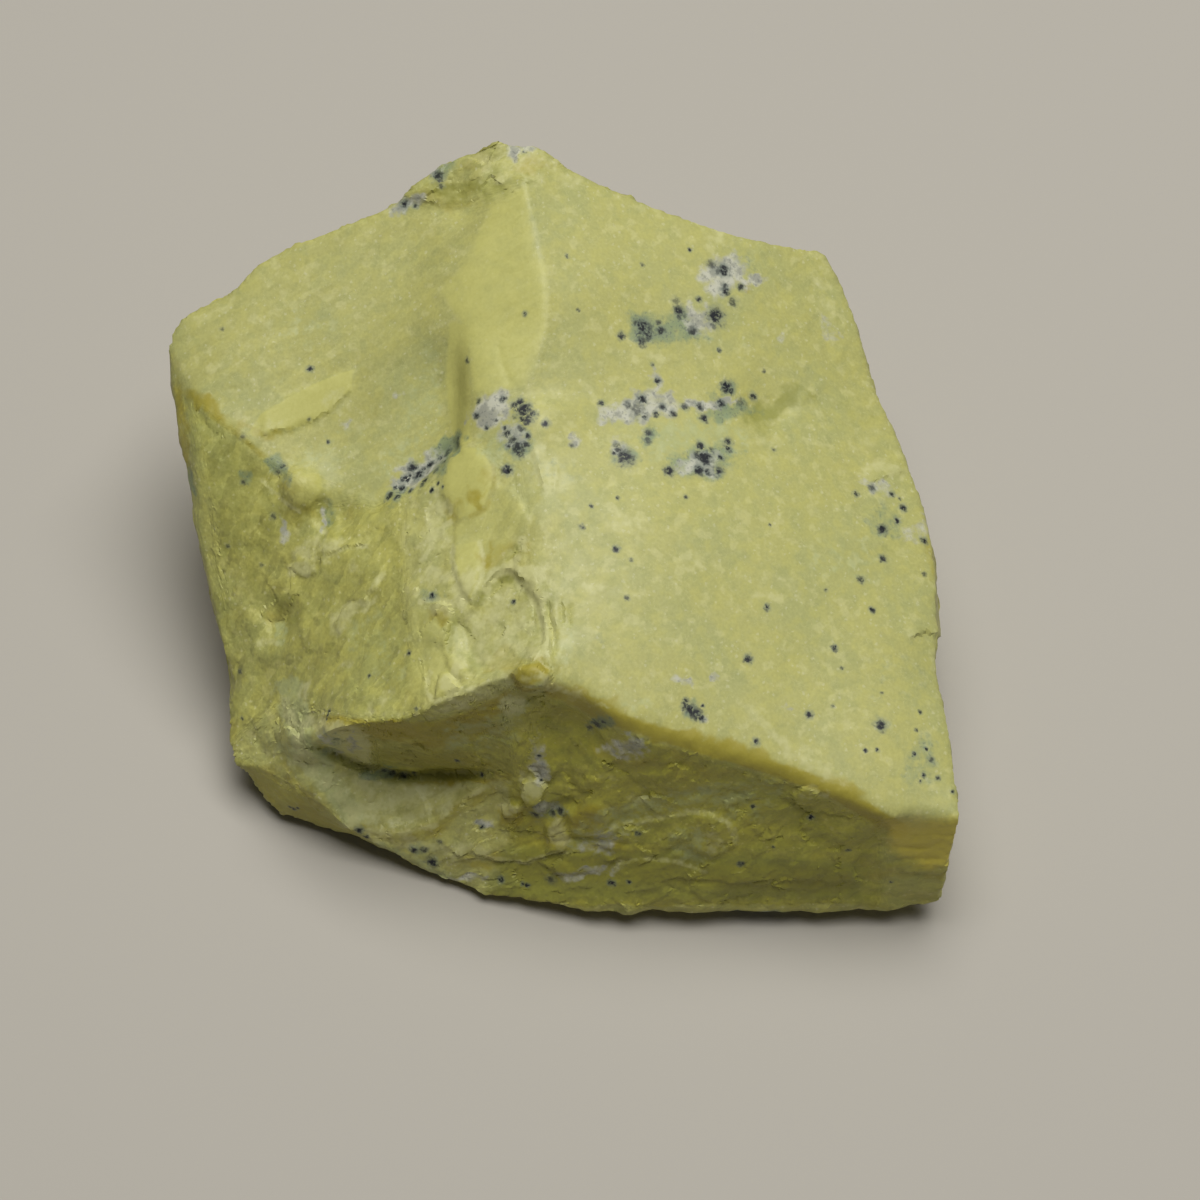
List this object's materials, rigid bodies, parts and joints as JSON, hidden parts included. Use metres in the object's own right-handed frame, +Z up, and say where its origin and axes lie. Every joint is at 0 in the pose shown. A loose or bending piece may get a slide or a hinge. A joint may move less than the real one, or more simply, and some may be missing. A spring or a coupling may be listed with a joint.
{
  "type": "serpentine rock specimen",
  "caption": "Small hand specimen of waxy yellow-green serpentine: an angular broken stone with smooth fracture faces, a rough crest and a flat spot to rest on.",
  "frame": {"origin": "middle of the footprint box, on the plane of the flat resting face", "axes": "+Z up from the resting face, +X towards the low right corner, +Y towards the back where the summit is"},
  "size_m": [0.0314, 0.0264, 0.018],
  "materials": {
    "serpentine": "Waxy, slightly translucent yellow-green stone with black magnetite specks, pale grey-white patches and faint blue-green halos."
  },
  "bodies": {
    "root": {"serpentine_rock": "serpentine"}
  },
  "joints": []
}
